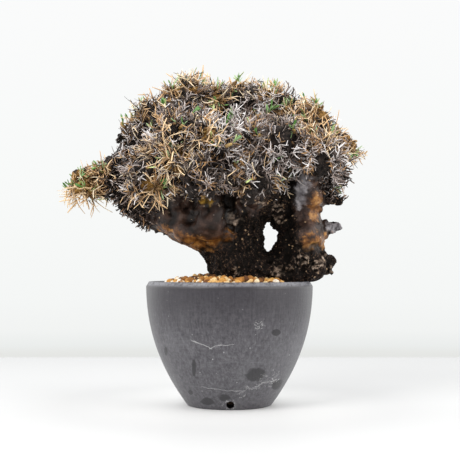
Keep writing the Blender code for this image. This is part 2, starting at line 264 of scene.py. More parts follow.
def new_finish(name):
    """A material with its node tree and its Principled shader."""
    finish = bpy.data.materials.new(name)
    finish.use_nodes = True
    return finish, finish.node_tree, finish.node_tree.nodes["Principled BSDF"]


def show(tree, shader, base, roughness):
    """Gives a shader its colour and its roughness, which is a number or a socket."""
    tree.links.new(base, shader.inputs["Base Color"])
    if isinstance(roughness, float):
        shader.inputs["Roughness"].default_value = roughness
    else:
        tree.links.new(roughness, shader.inputs["Roughness"])


def ranged(tree, value, low, high, start=0.0, end=1.0):
    """A value that runs from low to high while the given one runs from start to end."""
    inputs = {"Value": value, "From Min": start, "From Max": end, "To Min": low, "To Max": high}
    return add(tree, "MapRange", inputs).outputs[0]


def bump(tree, shader, height, distance, strength=1.0):
    inputs = {"Height": height, "Distance": distance, "Strength": strength}
    tree.links.new(add(tree, "Bump", inputs).outputs[0], shader.inputs["Normal"])


def colour(value):
    return (*value, 1.0)


def speckle_group():
    """A node group: a mask of small scattered specks."""
    group = bpy.data.node_groups.new("specks", "ShaderNodeTree")
    sockets = (("Coordinates", "INPUT", "NodeSocketVector"), ("Scale", "INPUT", "NodeSocketFloat"))
    sockets += (("Share", "INPUT", "NodeSocketFloat"), ("Mask", "OUTPUT", "NodeSocketFloat"))
    for name, way, kind in sockets:
        group.interface.new_socket(name, in_out=way, socket_type=kind)
    given = group.nodes.new("NodeGroupInput").outputs
    result = group.nodes.new("NodeGroupOutput").inputs
    cells = add(group, "TexVoronoi", {"Vector": given["Coordinates"], "Scale": given["Scale"]})
    pick = add(group, "SeparateColor", {"Color": cells.outputs["Color"]}).outputs[0]
    chosen = math_node(group, "LESS_THAN", pick, given["Share"])
    size = math_node(group, "LESS_THAN", cells.outputs["Distance"], 0.32)
    group.links.new(math_node(group, "MULTIPLY", chosen, size), result["Mask"])
    return group


def specks(tree, coordinates, scale, share):
    made = tree.nodes.new("ShaderNodeGroup")
    made.node_tree = bpy.data.node_groups.get("specks") or speckle_group()
    tree.links.new(coordinates, made.inputs["Coordinates"])
    made.inputs["Scale"].default_value = scale
    made.inputs["Share"].default_value = share
    return made.outputs["Mask"]


def oval(tree, place, middle, reach, wobble=0.0, size=200.0):
    """A mask that is 1 inside an oval and fades out round it, with a wobbling edge."""
    centre = [-m / r for m, r in zip(middle, reach)]
    inputs = {"Vector": place, "Location": centre, "Scale": [1 / r for r in reach]}
    inside = add(tree, "Mapping", inputs).outputs[0]
    distance = add(tree, "VectorMath", {0: inside}, operation="LENGTH").outputs["Value"]
    edge = centred(tree, noise_on(tree, place, size), wobble)
    return fade(tree, plus(tree, distance, edge), 1.08, 0.80)


def scratch(tree, place, start, end, level, slope, wobble, width):
    """A mask for a thin wandering scratch across the front, from one x to another, at a height."""
    split = add(tree, "SeparateXYZ", {0: place})
    along, front, height = split.outputs
    line = centred(tree, noise_on(tree, place, 130.0, 5.0, 0.6), wobble)
    line = plus(tree, line, times(tree, along, slope))
    gap = math_node(tree, "ABSOLUTE", minus(tree, minus(tree, height, level), line))
    mark = fade(tree, gap, width, width * 0.4)
    middle, half = (start + end) / 2, (end - start) / 2
    reach = math_node(tree, "ABSOLUTE", minus(tree, along, middle))
    ends = times(tree, mark, fade(tree, reach, half, half * 0.8))
    return times(tree, ends, math_node(tree, "LESS_THAN", front, 0.0))


# Dark smudges on the pot: (x, y, height) of the middle, and the reach each way
SMUDGES = metres(
    (31.5, -47, 54.5, 3.2, 20, 2.4), (17.5, -40, 25.5, 7.5, 20, 5), (-3, -30, 9.5, 4.2, 20, 2.8),
    (-24, -35, 30.5, 1.6, 20, 6.8), (-44, -30, 40, 1.2, 20, 3.2), (-15, -30, 6, 5, 20, 3),
    (33, -22, 17, 4.5, 20, 4.2), (-27, -22, 12, 1.8, 20, 2), (30, 45, 45, 8, 20, 4),
    (-28, 45, 62, 4, 20, 7), (50, 20, 35, 20, 6, 5), (-50, 15, 50, 20, 4, 6),
)


# Scratches: x of both ends, height, slope, wobble and width
SCRATCHES = (
    (-0.0265, -0.0110, 0.0384, -0.42, 0.0070, 0.00042),
    (-0.0140, -0.0050, 0.0496, 0.47, 0.0060, 0.00034),
    (-0.0080, 0.0040, 0.0466, 0.00, 0.0060, 0.00024),
    (0.010, 0.036, 0.0120, 0.30, 0.0160, 0.00055),
    (0.004, 0.032, 0.0105, 0.28, 0.0200, 0.00030),
    (-0.020, 0.012, 0.0150, -0.08, 0.0050, 0.00022),
)


def pot_finish():
    """Satin dark grey clay: upright brush streaks, faint rings, smudges, scratches and lime specks, with
    painted shade on its upper part, painted bounce light low down and a painted highlight on the rim band.
    """
    finish, tree, shader = new_finish("brushed_dark_clay")
    place = object_coordinates(tree)
    streaks = noise_on(tree, object_coordinates(tree, (1, 1, 0.05)), 760.0, 3.0, 0.6)
    broad = noise_on(tree, object_coordinates(tree, (1, 1, 0.5)), 30.0, 3.0)
    rings = noise_on(tree, object_coordinates(tree, (0.06, 0.06, 1)), 560.0, 4.0, 0.65)
    mottle = noise_on(tree, place, 420.0, 6.0, 0.75)
    base = ramp(tree, streaks, (0.32, (0.046, 0.043, 0.050)), (0.68, (0.104, 0.100, 0.112)))
    dark = highest(tree, *(oval(tree, place, spot[:3], spot[3:], 0.9) for spot in SMUDGES))
    base = tint(
        tree,
        base,
        (fade(tree, rings, 0.52, 0.72), 0.45, (0.13, 0.13, 0.14)),
        (fade(tree, mottle, 0.51, 0.64), 0.50, (0.165, 0.160, 0.168)),
        (fade(tree, mottle, 0.48, 0.36), 0.65, (0.020, 0.018, 0.022)),
        (fade(tree, broad, 0.50, 0.68), 0.30, (0.15, 0.15, 0.16)),
        (dark, 0.88, (0.012, 0.011, 0.013)),
    )
    crust = highest(
        tree,
        oval(tree, place, (0.0200, -0.047, 0.0600), (0.0045, 0.02, 0.0035), 1.6, 500.0),
        oval(tree, place, (0.0000, -0.030, 0.0039), (0.0048, 0.02, 0.0042), 1.2, 700.0),
    )
    crust = times(tree, crust, fade(tree, noise_on(tree, place, 900.0, 3.0), 0.50, 0.62))
    haze = oval(tree, place, (0.0290, -0.038, 0.0210), (0.0130, 0.03, 0.0070), 1.4, 160.0)
    haze = times(tree, haze, fade(tree, mottle, 0.52, 0.66))
    scratches = (scratch(tree, place, *mark) for mark in SCRATCHES)
    crust = highest(tree, crust, *scratches, times(tree, haze, 0.55), specks(tree, place, 800.0, 0.006))
    height = add(tree, "SeparateXYZ", {0: place}).outputs[2]
    # Painted bounce light: the lower part of the pot is lightened, a little unevenly, as if lit by the table
    # under it.
    painted_bounce_light = fade(tree, plus(tree, height, times(tree, broad, 0.03)), 0.085, 0.025)
    # The rim band, which gets a painted highlight below.
    band = fade(tree, height, RIM - RIM_BAND - 0.0002, RIM - RIM_BAND + 0.0016)
    base = tint(
        tree,
        base,
        (crust, 0.8, (0.42, 0.42, 0.42)),
        # painted bounce light on the lower part
        (painted_bounce_light, 0.10, (0.16, 0.16, 0.17)),
        # Painted shade: the upper part of the pot is darkened, most just under the rim, as if in the crown's
        # shade.
        (fade(tree, height, RIM - 0.046, RIM - 0.008), 0.80, (0.016, 0.013, 0.018)),
        # Darker from just under the rim band up to the lip.
        (fade(tree, height, RIM - 0.0062, RIM - 0.0044), 0.55, (0.022, 0.020, 0.023)),
        # Painted highlight: the rim band is lightened to a bluish grey, in mottled patches.
        (times(tree, band, fade(tree, mottle, 0.30, 0.60)), 0.60, (0.23, 0.235, 0.26)),
    )
    show(tree, shader, base, ranged(tree, mottle, 0.32, 0.50))
    relief = plus(tree, times(tree, rings, 0.7), streaks)
    relief = plus(tree, relief, times(tree, mottle, 0.6))
    relief = plus(tree, relief, crust)
    bump(tree, shader, relief, 0.0003, 0.45)
    return finish


ROUGH_BARK = ((0.40, (0.002, 0.0014, 0.001)), (0.56, (0.014, 0.008, 0.006)), (0.70, (0.210, 0.130, 0.080)))
# Satin bark tones: the cloudy lighter patches are partly the bark's own mottling and partly a painted sheen.
SATIN_BARK = ((0.34, (0.012, 0.007, 0.005)), (0.50, (0.034, 0.018, 0.013)), (0.72, (0.150, 0.088, 0.064)))
AMBER_BARK = ((0.34, (0.022, 0.009, 0.003)), (0.51, (0.150, 0.056, 0.012)), (0.70, (0.480, 0.235, 0.062)))
OCHRE_BARK = ((0.30, (0.070, 0.034, 0.006)), (0.62, (0.440, 0.255, 0.040)))
# Grey bark tones: the bark's own grey on the stub, a painted highlight on the right trunk.
GREY_BARK = ((0.30, (0.070, 0.062, 0.066)), (0.52, (0.240, 0.225, 0.235)), (0.75, (0.560, 0.540, 0.550)))
TAN_BARK = ((0.34, (0.040, 0.028, 0.020)), (0.54, (0.280, 0.205, 0.150)), (0.72, (0.620, 0.520, 0.430)))


def bark_finish():
    """Bark, painted by the masks on its mesh: rough black, satin brown, peeled amber, grey and tan, with
    painted shade in its furrows and creases, a painted sheen in the satin and a painted highlight in the
    grey on the right trunk.
    """
    finish, tree, shader = new_finish("othonna_bark")
    place = object_coordinates(tree)
    fine = noise_on(tree, place, 700.0, 6.0, 0.65)
    medium = noise_on(tree, place, 170.0, 5.0, 0.6)
    large = noise_on(tree, place, 60.0, 3.0)
    cloudy = noise_on(tree, place, 95.0, 4.0, 0.55)
    ragged = plus(tree, centred(tree, medium, 1.5), centred(tree, fine, 0.6))
    tone = ramp(tree, fine, *ROUGH_BARK)
    for mask, pattern, soft, tones in (
        ("satin", cloudy, 0.30, SATIN_BARK),
        # grey: its own colour on the stub, a painted highlight on the right trunk
        ("grey", medium, 0.30, GREY_BARK),
        ("tan", fine, 0.22, TAN_BARK),
        ("ochre", medium, 0.18, OCHRE_BARK),
        ("amber", medium, 0.20, AMBER_BARK),
    ):
        worn = plus(tree, attribute(tree, mask), ragged)
        tone = mix(tree, fade(tree, worn, 0.52 - soft, 0.52 + soft), tone, ramp(tree, pattern, *tones))
    # Painted shade: the furrows and creases, where the hollow mask is high, are darkened nearly to black.
    painted_crease_shade = fade(tree, attribute(tree, "hollow"), 0.15, 0.85)
    dust = times(tree, specks(tree, place, 450.0, 0.08), fade(tree, large, 0.40, 0.56))
    tone = tint(tree, tone, (painted_crease_shade, 0.85, (0.004, 0.003, 0.002)), (dust, 0.8, (0.50, 0.34, 0.20)))
    smoothness = fade(tree, attribute(tree, "satin"), 0.2, 0.6)
    show(tree, shader, tone, ranged(tree, smoothness, 0.78, 0.42))
    tree.links.new(times(tree, smoothness, 0.26), shader.inputs["Coat Weight"])
    shader.inputs["Coat Roughness"].default_value = 0.36
    shader.inputs["Specular IOR Level"].default_value = 0.14
    relief = plus(tree, times(tree, medium, 2.0), fine)
    depth = times(tree, relief, minus(tree, 1.10, smoothness))
    bump(tree, shader, depth, 0.0012, 0.9)
    return finish


MATTED_WOOD = ((0.38, (0.004, 0.003, 0.003)), (0.60, (0.026, 0.018, 0.014)), (0.80, (0.110, 0.080, 0.058)))
GOLDEN_WOOD = ((0.30, (0.060, 0.028, 0.008)), (0.55, (0.300, 0.160, 0.040)), (0.80, (0.560, 0.360, 0.120)))
SILVERY_WOOD = ((0.30, (0.045, 0.040, 0.042)), (0.60, (0.210, 0.195, 0.205)), (0.80, (0.460, 0.440, 0.455)))


def matted_finish():
    """The dark old wood between the stalks, golden brown where it lives and silvery where it is worn."""
    finish, tree, shader = new_finish("matted_dead_wood")
    place = object_coordinates(tree)
    grain = noise_on(tree, place, 520.0, 6.0, 0.65)
    patch = noise_on(tree, place, 120.0, 4.0)
    ragged = centred(tree, patch, 1.4)
    base = ramp(tree, grain, *MATTED_WOOD)
    for mask, start, tones in (("worn", 0.40, SILVERY_WOOD), ("fresh", 0.25, GOLDEN_WOOD)):
        edge = plus(tree, attribute(tree, mask), ragged)
        base = mix(tree, fade(tree, edge, start, start + 0.25), base, ramp(tree, grain, *tones))
    show(tree, shader, base, ranged(tree, grain, 0.95, 0.65))
    shader.inputs["Specular IOR Level"].default_value = 0.25
    bump(tree, shader, grain, 0.0015)
    return finish


def grain_finish(name, tones, ends, roughness):
    """For scattered pieces: across their map runs each copy's own tone, and up it the copy's length."""
    finish, tree, shader = new_finish(name)
    grain = add(tree, "UVMap", uv_map="grain").outputs[0]
    split = add(tree, "SeparateXYZ", {0: grain})
    base = ramp(tree, split.outputs[0], *tones)
    # Up each copy, its ends ramp multiplies the tone: on the stalks this is painted shade at their feet.
    shade = ramp(tree, split.outputs[1], *ends)
    made = add(tree, "Mix", {0: 1.0, 6: base, 7: shade}, data_type="RGBA", blend_type="MULTIPLY")
    show(tree, shader, made.outputs[2], roughness)
    return finish


GRIT_TONES = (
    (0.00, (0.030, 0.012, 0.005)),
    (0.18, (0.150, 0.055, 0.012)),
    (0.42, (0.470, 0.200, 0.035)),
    (0.66, (0.700, 0.400, 0.110)),
    (0.86, (0.880, 0.700, 0.400)),
    (1.00, (0.920, 0.880, 0.790)),
)


def grit_finish():
    """Fired-clay grains, each with a tone of its own, pitted and dusty."""
    finish, tree, shader = new_finish("clay_grit")
    place = object_coordinates(tree)
    pitted = noise_on(tree, place, 700.0, 5.0, 0.6)
    base = ramp(tree, attribute(tree, "tone"), *GRIT_TONES)
    base = tint(tree, base, (fade(tree, pitted, 0.54, 0.70), 0.7, (0.16, 0.07, 0.02)))
    show(tree, shader, base, 0.8)
    bump(tree, shader, pitted, 0.0008)
    return finish


BED_TONES = ((0.42, (0.008, 0.004, 0.002)), (0.70, (0.120, 0.050, 0.014)))
# Potting mix tones, darkened so that the mix seen through the drain hole reads black: partly its own dark
# tone, partly painted shade.
SOIL_TONES = ((0.35, (0.012, 0.007, 0.004)), (0.70, (0.060, 0.034, 0.018)))


def crumbly_finish(name, size, detail, *tones):
    """Matt crumbs, as of the shaded grit under the loose grains, or of the potting mix."""
    finish, tree, shader = new_finish(name)
    crumbs = noise_on(tree, object_coordinates(tree), size, detail)
    show(tree, shader, ramp(tree, crumbs, *tones), 0.95)
    bump(tree, shader, crumbs, 0.002)
    return finish


# ---- Pot ----
POT_SIDES = 200
FOOT_RECESS = 0.0006
DRAIN_RADIUS = 0.0028
DRAIN_HEIGHT = 0.0039
FOOT_RADIUS = 0.0302
SWELL = 2.2  # how early the side swells out above the foot
WALL = 0.0038  # its thickness
FLOOR = 0.0034
FOOT_BEVEL = 0.0012
RIM_BAND = 0.0034
RIM_SLANT = 0.0016
LIP_ROUND = 0.0009


def side_radius(height):
    """The pot's outer radius at a height."""
    share = min(1.0, max(0.0, height / RIM))
    return FOOT_RADIUS + (RIM_RADIUS - FOOT_RADIUS) * (1 - (1 - share) ** SWELL)


def inner_radius(height):
    slope = (side_radius(height + 0.0005) - side_radius(height - 0.0005)) / 0.001
    return side_radius(height) - WALL * math.hypot(1.0, slope)


def steps(low, high, count):
    return [low + (high - low) * i / count for i in range(count + 1)]


def arc(middle, radius, start, end, count):
    """(radius, height) points of a quarter turn, with angles in degrees from the pot's outside."""
    across, up = middle
    turns = [math.radians(angle) for angle in steps(start, end, count)]
    return [(across + radius * math.cos(turn), up + radius * math.sin(turn)) for turn in turns]


def make_pot():
    """The pot, turned finely, with a slanting band under a rounded lip and a drain hole at the foot."""
    band_foot = RIM - RIM_BAND
    band = side_radius(band_foot)
    outside = [(0.0, FOOT_RECESS), (FOOT_RADIUS * 0.7, FOOT_RECESS), (FOOT_RADIUS * 0.74, 0.0)]
    outside += arc((FOOT_RADIUS - FOOT_BEVEL * 0.6, FOOT_BEVEL), FOOT_BEVEL, -90, 0, 5)[:-1]
    outside += [(side_radius(h), h) for h in steps(FOOT_BEVEL, band_foot, 56)]
    outside += [(band - 0.0002, band_foot + 0.0003)]
    outside += arc((band - RIM_SLANT - LIP_ROUND, RIM - LIP_ROUND), LIP_ROUND, 12, 90, 5)
    inside = [(inner_radius(h), h) for h in steps(FLOOR, RIM - LIP_ROUND, 40)]
    inside.append((inside[-1][0] + LIP_ROUND / 2, RIM - 0.0001))
    profile = outside + inside[::-1] + [(0.0, FLOOR)]
    shape = bmesh.new()
    corners = [shape.verts.new((radius, 0.0, level)) for radius, level in profile]
    edges = [shape.edges.new(pair) for pair in zip(corners, corners[1:])]
    bmesh.ops.spin(
        shape,
        geom=corners + edges,
        axis=(0, 0, 1),
        cent=(0, 0, 0),
        angle=math.tau,
        steps=POT_SIDES,
        use_merge=True,
    )
    bmesh.ops.remove_doubles(shape, verts=shape.verts, dist=1e-6)
    bmesh.ops.recalc_face_normals(shape, faces=shape.faces)
    drill = bmesh.new()
    place = Matrix.Translation((0.0006, -FOOT_RADIUS, DRAIN_HEIGHT)) @ Matrix.Rotation(math.pi / 2, 4, "X")
    bmesh.ops.create_cone(
        drill,
        cap_ends=True,
        segments=40,
        radius1=DRAIN_RADIUS,
        radius2=DRAIN_RADIUS,
        depth=FOOT_RADIUS,
        matrix=place,
    )
    cutter = linked("drill", mesh_of(drill, "drill"))
    cut = {"object": cutter, "solver": "EXACT", "operation": "DIFFERENCE"}
    mesh = run_modifiers(shape, ("BOOLEAN", cut))
    bpy.data.objects.remove(cutter)
    piece = finished("pot_body", mesh, pot_finish(), "pot", "pot")
    mesh.set_sharp_from_angle(angle=math.radians(40))
    return piece


# ---- Grit ----
GRAINS = 1050
GRAIN_KINDS = 14
GRAIN_SIZES = (0.0013, 0.0035)


def make_grit():
    """Loose grains that lie in the grit bed, heaped a little against the stem."""
    luck = random.Random(SEED)
    base = node_shape("top_dressing")
    for vertex in base.verts:
        outward = (math.hypot(vertex.co.x, vertex.co.y) - 0.034) / 0.018
        vertex.co.z -= 0.0014 + 0.0022 * min(1.0, max(0.0, outward))
    bed = BVHTree.FromBMesh(base)
    kinds = [grain_shape(random.Random(kind)) for kind in range(GRAIN_KINDS)]
    whole = bmesh.new()
    edge = RIM_RADIUS - 0.0065
    spots = []
    while len(spots) < GRAINS:
        radius = edge * math.sqrt(luck.random())
        turn = luck.uniform(0, math.tau)
        spots.append((radius * math.cos(turn), radius * math.sin(turn)))
    for x, y in spots:
        hit = bed.ray_cast(Vector((x, y, RIM + 0.03)), Vector((0, 0, -1)))
        if hit[0] is None or hit[0].z < RIM - 0.009:
            continue
        size = luck.uniform(*GRAIN_SIZES)
        place = Matrix.Translation(hit[0] + Vector((0, 0, luck.uniform(-0.0006, 0.0018))))
        place @= Euler([luck.uniform(0, math.tau) for _ in range(3)]).to_matrix().to_4x4()
        place @= Matrix.Diagonal((size, size, size, 1))
        tone = luck.random()
        copy = kinds[luck.randrange(len(kinds))].copy()
        copy.transform(place)
        copy.attributes["tone"].data.foreach_set("value", [tone] * len(copy.vertices))
        whole.from_mesh(copy)
        bpy.data.meshes.remove(copy)
    shaded = crumbly_finish("grit_bed", 520.0, 4.0, *BED_TONES)
    finished("grit_grains", whole, grit_finish(), "grit", smooth=True)
    finished("grit_bed", base, shaded, "grit", "top_dressing", smooth=False)


def grain_shape(luck):
    """One angular, rounded grain of unit radius."""
    shape = bmesh.new()
    bmesh.ops.create_icosphere(shape, subdivisions=2, radius=1.0)
    for _ in range(5):
        away = stray(luck, 1).normalized()
        depth = luck.uniform(0.62, 0.85)
        for vertex in shape.verts:
            over = vertex.co.dot(away) - depth
            if over > 0:
                vertex.co -= away * over * 0.85
    stretch = (1.0, luck.uniform(0.75, 1.0), luck.uniform(0.6, 0.85))
    bmesh.ops.scale(shape, verts=shape.verts, vec=stretch)
    mesh = mesh_of(shape, "grain")
    mesh.attributes.new("tone", "FLOAT", "POINT")
    return mesh


# ---- Bark ----
# Swellings: (x, y, height above the rim, radius)
SWELLINGS = metres(
    (-40, -16, 47, 14.5), (-15, -21, 46, 18), (7, -16, 50, 15), (-30, -22, 36, 10),
    (-52, -12, 54, 11.5), (22, -16, 62, 14), (53, -9, 32, 14.5), (55, -9, 62, 12.5), (58, -9, 12, 12.5),
    (44, -11, 8, 11), (2, -12, 12, 14), (18, -9, 8, 12), (20.5, -4, 40, 5), (35, -4, 41, 5.5),
    (20, -4, 24, 5), (35.5, -4, 24, 5), (-28.5, -20, 28, 2.6), (-64, -12, 50, 5), (-74, -10, 57, 5),
)
# Creases: x and height above the rim of both ends, radius and depth
CREASES = metres(
    (-26.5, 64, -27.5, 42, 5.6, 5.8), (-2, 64, 1, 37, 6, 3.4), (-15, 48, -14, 58, 4, 2.2),
    (-43, 60, -40, 40, 3.5, 2), (12, 60, 8, 30, 4, 2.6), (-18, 22.5, 5, 28, 3.2, 2.2),
    (44, 80, 40, 14, 4.5, 2.4), (42, 24, 66, 24, 3.5, 2), (30, 16, 44, 2, 3.5, 2),
)
# Patches of each finish: x and height above the rim of both ends, and radius
PATCHES = {
    "satin": metres(
        (-44, 46, -36, 40, 13), (-30, 50, -22, 36, 14), (-12, 50, -8, 38, 14), (2, 55, 18, 56, 8),
        (56, 82, 60, 34, 12),
    ),
    # Grey: the stub on the right in its own grey, and a light column high on the right trunk that is a
    # painted highlight.
    "grey": metres(
        (48, 82, 51, 66, 6.4), (49, 64, 51, 56, 4.2), (74, 38, 82, 40, 4.8),
    ),
    "tan": metres(
        (48, 20, 52, 14, 6.2), (33, 8, 38, 10, 6.2), (67, 14, 69, 8, 5), (60, 12, 62, 8, 4.5),
        (4, 6, 6, 3, 4), (19, 55, 22, 54, 3.6), (-7, 53, -5, 52.5, 2.2), (4, 54, 8, 55, 2.6),
        (-47, 58, -42, 56, 6), (-100, 68, -90, 70, 8), (33.5, 53, 37, 43, 4), (2, 43, 7, 40, 5),
    ),
    "ochre": metres(
        (-19, 56, -13, 54.5, 2.7),
    ),
    "amber": metres(
        (-48, 37.5, -38, 32.5, 3.2), (-38, 32.5, -29, 28.5, 4.4), (-29, 28.5, -21, 26.2, 4.8),
        (-21, 26.2, -12, 25.8, 5.2), (-12, 25.8, -4, 29.5, 5), (-4, 30, 1, 32.5, 4.6),
        (56, 28, 70, 29, 6.2), (60, 58, 61, 48, 5.8),
    ),
}
# Clusters of warts: (x, y, height above the rim), spread and count
WART_CLUSTERS = metres(
    (52, -21, 18, 7, 16), (28, -16, 8, 8, 16), (66, -12, 12, 8, 14), (10, -20, 8, 10, 14),
    (-2, -20, 20, 12, 18), (18, -16, 36, 10, 20), (-55, -14, 44, 14, 30), (-72, -10, 54, 12, 26),
    (70, -8, 62, 8, 18), (78, -10, 74, 8, 14), (66, -10, 38, 6, 12), (-33, -32, 42, 5, 14),
    (35, -18, 48, 6, 18), (5, -28, 41, 6, 16), (-94, -16, 68, 10, 30), (-84, -14, 58, 10, 24),
    (-28, -26, 29, 4, 6),
    lengths=4,
)


def make_bark():
    """The woody stock, remeshed finely from its node, with swellings, warts, furrows and painted masks."""
    luck = random.Random(SEED)
    shape = node_shape("caudex")
    stock = BVHTree.FromBMesh(shape)
    for x, y, height, radius in SWELLINGS:
        add_ball(shape, above_rim(x, y, height), radius, 3)
    for x, y, height, spread, count in WART_CLUSTERS:
        middle = above_rim(x, y, height)
        for _ in range(count):
            spot, normal = stock.find_nearest(middle + stray(luck, spread * 0.55))[:2]
            size = luck.uniform(0.0010, 0.0024)
            add_ball(shape, spot + normal * size * 0.35, size)
    mesh = run_modifiers(
        shape,
        ("REMESH", {"mode": "VOXEL", "voxel_size": BARK_GRAIN}),
        ("SMOOTH", {"factor": 0.5, "iterations": 2}),
    )
    points, normals = surface_of(mesh)
    masks = {}
    for name, patches in PATCHES.items():
        masks[name] = np.zeros(len(points))
        for *ends, radius in patches:
            masks[name] = np.maximum(masks[name], near_line(points, ends[:2], ends[2:], radius * 1.7))
    rise = np.clip((points[:, 2] - RIM - 0.001) / 0.005, 0, 1)
    rough = rise * (1 - np.clip(masks["satin"] * 1.6, 0, 1))
    crease = np.zeros(len(points))
    lift = np.zeros(len(points))
    wobble = noisy(points, 0.008, 5.0, 2)
    wandering = points + 0.0030 * np.stack([wobble, 0 * wobble, wobble], axis=1)
    for *ends, radius, depth in CREASES:
        along = near_line(wandering, ends[:2], ends[2:], radius)
        lift -= depth * along
        crease = np.maximum(crease, along)
    swell = noisy(points, 0.020, 1.0, 2)
    lump = noisy(points, 0.0085, 9.0, 2)
    furrow = noisy(points * np.array([1, 1, 0.30]), 0.0042, 4.0, 3)
    crumb = noisy(points, 0.0030, 7.0, 3)
    lift += 0.0012 * swell * rise + (0.0018 * lump - 0.0020 * np.abs(furrow) + 0.0011 * crumb) * rough
    lift += 0.00025 * crumb * rise
    swell_out(mesh, points, normals, lift)
    # The hollow mask: painted shade in the furrows and creases, darkened in the finish.
    masks["hollow"] = np.clip(np.abs(furrow) * 1.8 - crumb * 0.5, 0, 1) * rough
    masks["hollow"] = np.maximum(masks["hollow"], crease)
    masks["tan"] *= np.clip(0.55 + 1.3 * crumb, 0.0, 1.0)
    for name, values in masks.items():
        paint(mesh, name, values)
    return finished("woody_stock", mesh, bark_finish(), "bark", "caudex")


# ---- Crown ----
def middle_of(name):
    """The middle of a thicket's core, from its node's vertices."""
    corners = read(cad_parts[name].data.vertices, "co", 3)
    return Vector(np.median(corners, axis=0).tolist())


# The radius of a thicket's core, and of those that are smaller
CORE = 0.0109
SMALL_CORES = {
    "thorns_left_arm": 0.0066,
    "thorns_right": 0.0085,
    "thorns_left_arm_top": 0.0080,
    "thorns_front_low": 0.0100,
    "thorns_front_right_low": 0.0100,
}
# How far some cores sit from their nodes' own, so that the stock shows under them
SHIFTS = {
    "thorns_left_arm": (0.002, 0.000, -0.006),
    "thorns_left_arm_top": (0.005, 0.000, -0.003),
    "thorns_right": (-0.002, 0.000, -0.001),
    "thorns_front_low": (0.000, 0.006, 0.009),
    "thorns_front_right_low": (0.000, 0.006, 0.010),
    "thorns_front_left_low": (0.000, 0.002, 0.004),
}
# Live growth on the front and the back: (x, height above the rim, vigour)
LIVE_FRONT = metres(
    (-112, 65, 1), (-101, 66, 0.7), (-96, 76, 1), (-108, 72, 0.8), (-90, 78, 0.6), (-97, 60, 0.6),
    (-90, 60, 0.3), (-90, 69, 0.7), (-36.5, 82, 1), (-50, 65, 1), (-27, 140, 1), (-18, 144, 0.5),
    (-41, 134, 0.8), (-63, 123, 0.8), (-73, 111, 0.7), (-8, 128, 0.6), (-15, 96, 0.6), (4, 141, 0.5),
    (34, 135, 1), (26, 142, 0.5), (42, 119, 0.6), (63, 122, 0.9), (55, 113, 0.6), (70, 101, 1),
    (60, 95, 0.5), (87, 96, 0.4),
    lengths=2,
)
LIVE_BACK = metres(
    (90, 100, 0.8), (70, 86, 0.9), (38, 74, 0.8), (45, 114, 1), (30, 133, 0.7), (8, 142, 0.8),
    (-5, 85, 0.8), (-5, 118, 1), (-30, 132, 0.8), (-36, 116, 0.8), (-42, 74, 0.8), (-62, 99, 1),
    (-75, 78, 0.9), (-108, 70, 0.8), (18, 106, 0.5),
    lengths=2,
)
# Hubs of long arching stalks, the same way
ARCHES_FRONT = metres(
    (-35.8, 85.3, 1), (-49, 63.6, 0.8), (-20.1, 131, 0.8), (69, 104.6, 1), (59.4, 114, 0.6),
    (40, 116.6, 0.5), (-94.8, 75.6, 0.5), (-111.7, 68.4, 0.6), (-94.8, 56.4, 0.6), (-60, 101, 0.3),
    (-20, 98, 0.4), (-62, 127, 0.3), (5, 78, 0.2), (25, 70, 0.3),
    lengths=2,
)
ARCHES_BACK = metres(
    (62, 100, 0.8), (35, 80, 0.5), (10, 125, 0.6), (-30, 90, 0.8), (-62, 85, 0.6), (-45, 120, 0.4),
    lengths=2,
)
# Where straw-coloured stalks stand thick on the front: (x, height above the rim, radius, share)
GOLDEN = metres(
    (-40, 85, 30, 0.6), (-50, 65, 20, 0.75), (-20, 134, 18, 0.75), (64, 106, 24, 0.7),
    (40, 117, 16, 0.5), (-62, 126, 16, 0.6), (-100, 68, 24, 0.95), (90, 95, 16, 0.5),
    lengths=3,
)
# Dark hollows between the bunches on the front: (x, height above the rim, radius)
HOLLOWS = metres(
    (-2, 109.5, 6), (-5.6, 124, 4), (27.8, 140, 4.5), (-31, 133, 4), (-56, 76, 5), (-66, 80, 5),
    (-22, 72, 4), (53, 98, 4.5), (46, 127, 3.5), (-46, 106, 3.5),
)
# Old wood worn smooth and silvery: (x, y, height above the rim, radius)
WORN = metres(
    (24, -50, 112, 22), (14, -55, 86, 18), (44, -45, 80, 16),
)
# The thickets' lower edge: (x, height above the rim)
LOW_EDGE = metres(
    (-125, 50), (-92, 44), (-70, 36), (-56, 46), (-44, 58), (0, 62), (32, 56), (46, 72), (64, 80),
    (74, 62), (100, 70),
)
# The thickets' upper edge, the same way
TOP_EDGE = metres(
    (-123, 64), (-120, 68), (-113, 74), (-106, 79), (-98, 86), (-92, 90), (-88, 86), (-84.5, 83),
    (-82, 92), (-80, 106), (-78, 115), (-70, 124), (-62, 133), (-50, 137), (-42, 146), (-25, 151.5),
    (37, 147), (50, 139), (64, 128), (84, 108), (96, 98), (99, 88),
)
# Where the stalks are darkest: (x, y, height above the rim, radius)
SHADED = metres(
    (-70, -20, 55, 30), (-80, -12, 64, 14), (70, -20, 78, 22),
)


def edge_height(edge, x):
    return RIM + float(np.interp(x, [p[0] for p in edge], [p[1] for p in edge]))


def low_edge(x):
    return edge_height(LOW_EDGE, x)


def within_crown(tip, allowance):
    """Whether a tip stays in the crown's outline, give or take an allowance."""
    if not -0.124 - allowance < tip.x < 0.099 + allowance:
        return False
    return tip.z < edge_height(TOP_EDGE, tip.x) + allowance


def shift_of(name):
    return Vector(SHIFTS.get(name, (0, 0, 0)))


